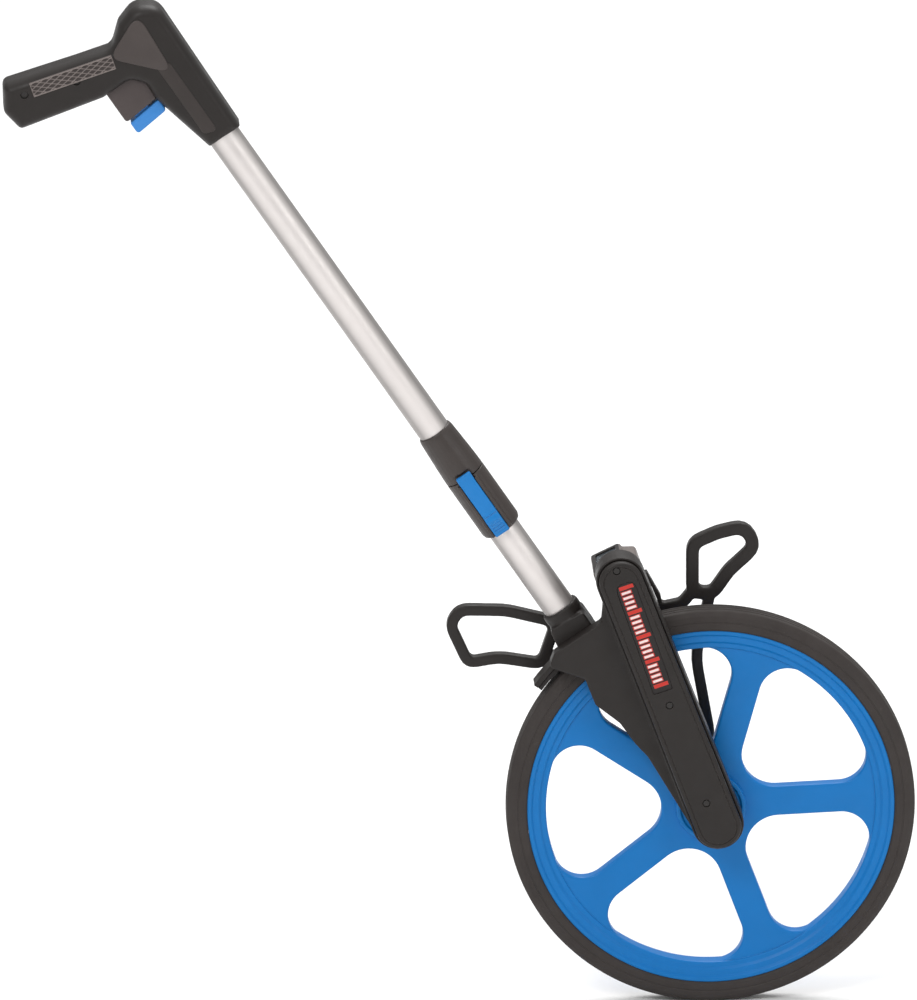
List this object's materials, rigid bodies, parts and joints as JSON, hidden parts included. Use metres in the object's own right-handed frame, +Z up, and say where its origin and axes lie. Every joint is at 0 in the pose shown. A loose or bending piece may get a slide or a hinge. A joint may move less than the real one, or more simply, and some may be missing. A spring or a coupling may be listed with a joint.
{
  "type": "measuring wheel",
  "caption": "Folding measuring wheel: spoked wheel with rubber tyre, belt-driven roller counter, swing-out stand, latched folding pole, pistol grip with brake trigger and reset button.",
  "frame": {"origin": "ground contact point under the axle, on the tyre's tread", "axes": "+X walking direction, +Y the user's left (wheel axis), +Z up"},
  "size_m": [0.7072, 0.087, 0.8135],
  "materials": {
    "blue_plastic": "semi-gloss moulded, blue",
    "black_plastic": "fine grained moulding",
    "grey_plastic": "satin",
    "ivory_plastic": "satin",
    "window": "clear polished, dark behind",
    "tyre": "matt, ribbed tread",
    "rubber": "matt",
    "silver_tube": "satin anodised",
    "steel": "zinc plated"
  },
  "bodies": {
    "fork": {"axle": "steel", "axle_nut": "steel", "axle_spacer": "steel", "brake_cable_lower": "rubber", "brake_pin": "steel", "counter_case": "black_plastic", "counter_window": "window", "cover_screw_1": "steel", "cover_screw_2": "steel", "cover_screw_3": "steel", "crown_bolt_1": "steel", "crown_bolt_2": "steel", "drive_belt": "rubber", "fork_crown": "black_plastic", "hinge_pin": "steel", "label_plate": "ivory_plastic", "latch_pin": "steel", "left_arm": "black_plastic", "lower_ferrule": "black_plastic", "lower_tube": "silver_tube", "right_arm_case": "black_plastic", "right_arm_cover": "black_plastic", "stand_bolt": "steel", "stand_catch": "black_plastic"},
    "wheel": {"wheel_rim": "blue_plastic", "tyre": "tyre", "right_bearing": "steel", "left_bearing": "steel", "drive_pulley": "black_plastic"},
    "counter_tenths": {"counter_shaft": "steel", "counter_pulley": "black_plastic", "drum_tenths": "blue_plastic"},
    "counter_metres": {"drum_metres": "ivory_plastic"},
    "counter_tens": {"drum_tens": "ivory_plastic"},
    "counter_hundreds": {"drum_hundreds": "ivory_plastic"},
    "counter_thousands": {"drum_thousands": "ivory_plastic"},
    "brake": {"brake_lever": "black_plastic", "brake_shoe": "rubber"},
    "stand_leg": {"stand": "black_plastic"},
    "latch": {"latch_lever": "blue_plastic"},
    "upper_pole": {"upper_knuckle": "black_plastic", "upper_tube": "silver_tube", "brake_cable_upper": "rubber", "handle_shell_right": "black_plastic", "handle_shell_left": "black_plastic", "handle_screw_1": "steel", "handle_screw_2": "steel", "handle_screw_3": "steel", "trigger_spring": "steel"},
    "brake_trigger": {"trigger": "grey_plastic", "button_spring": "steel"},
    "reset": {"reset_button": "blue_plastic"}
  },
  "joints": [
    {"name": "wheel_spin", "type": "hinge", "parent": "fork", "child": "wheel", "pos_m": [0, 0, 0.15915], "axis": [0, 1, 0], "continuous": true},
    {"name": "count_tenths", "type": "hinge", "parent": "fork", "child": "counter_tenths", "pos_m": [-0.06885, 0, 0.34328], "axis": [0, 1, 0], "continuous": true},
    {"name": "count_metres", "type": "hinge", "parent": "fork", "child": "counter_metres", "pos_m": [-0.06885, 0, 0.34328], "axis": [0, 1, 0], "continuous": true},
    {"name": "count_tens", "type": "hinge", "parent": "fork", "child": "counter_tens", "pos_m": [-0.06885, 0, 0.34328], "axis": [0, 1, 0], "continuous": true},
    {"name": "count_hundreds", "type": "hinge", "parent": "fork", "child": "counter_hundreds", "pos_m": [-0.06885, 0, 0.34328], "axis": [0, 1, 0], "continuous": true},
    {"name": "count_thousands", "type": "hinge", "parent": "fork", "child": "counter_thousands", "pos_m": [-0.06885, 0, 0.34328], "axis": [0, 1, 0], "continuous": true},
    {"name": "brake_close", "type": "hinge", "parent": "fork", "child": "brake", "pos_m": [-0.074, 0, 0.31516], "axis": [0, -1, 0], "range_deg": [0, 2.2]},
    {"name": "stand_swing", "type": "hinge", "parent": "fork", "child": "stand_leg", "pos_m": [-0.005, 0.0335, 0.18416], "axis": [0, -1, 0], "range_deg": [0, 158]},
    {"name": "latch_press", "type": "hinge", "parent": "fork", "child": "latch", "pos_m": [-0.17325, -0.0152, 0.40295], "axis": [0.829, 0, 0.5592], "range_deg": [0, 8]},
    {"name": "pole_fold", "type": "hinge", "parent": "fork", "child": "upper_pole", "pos_m": [-0.19114, 0.021, 0.42948], "axis": [-0.829, 0, -0.5592], "range_deg": [0, 165]},
    {"name": "brake_pull", "type": "slide", "parent": "upper_pole", "child": "brake_trigger", "axis": [-0.5592, 0, 0.829], "range_m": [0, 0.008], "deforming": ["trigger_spring"]},
    {"name": "reset_press", "type": "slide", "parent": "brake_trigger", "child": "reset", "axis": [-0.5592, 0, 0.829], "range_m": [0, 0.002], "deforming": ["button_spring"]}
  ],
  "couplings": [
    {"joint": "count_tenths", "follows": "wheel_spin", "ratio": 1},
    {"joint": "count_metres", "follows": "wheel_spin", "ratio": 0.1},
    {"joint": "count_tens", "follows": "wheel_spin", "ratio": 0.01},
    {"joint": "count_hundreds", "follows": "wheel_spin", "ratio": 0.001},
    {"joint": "count_thousands", "follows": "wheel_spin", "ratio": 0.0001},
    {"joint": "brake_close", "follows": "brake_pull", "rad_per_m": 4.79}
  ]
}
